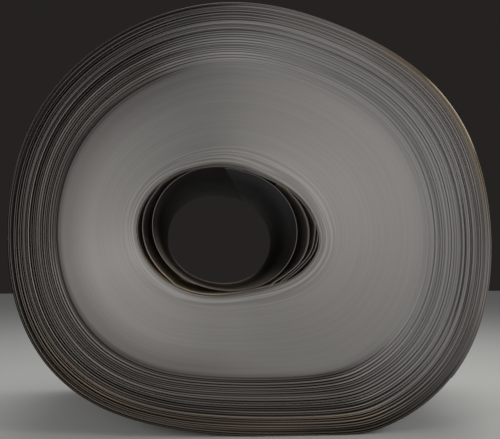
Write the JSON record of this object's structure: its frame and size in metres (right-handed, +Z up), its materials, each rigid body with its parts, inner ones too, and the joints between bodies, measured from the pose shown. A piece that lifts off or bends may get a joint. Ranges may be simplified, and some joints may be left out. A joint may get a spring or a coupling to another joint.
{
  "type": "steel coil",
  "caption": "Coil of sheet steel strip lying on its side, sagged to an oval, with loose inner laps in its eye.",
  "frame": {"origin": "on the floor under the middle of the coil's box, at its flat foot", "axes": "+X across the coil, to the right of someone who looks into the front end; +Y along the eye, from the front end to the back end; +Z up"},
  "size_m": [1.8819, 1.234, 1.6913],
  "materials": {
    "steel": "satin cold strip, edges dull and streaked"
  },
  "bodies": {
    "root": {"coil": "steel"}
  },
  "joints": []
}
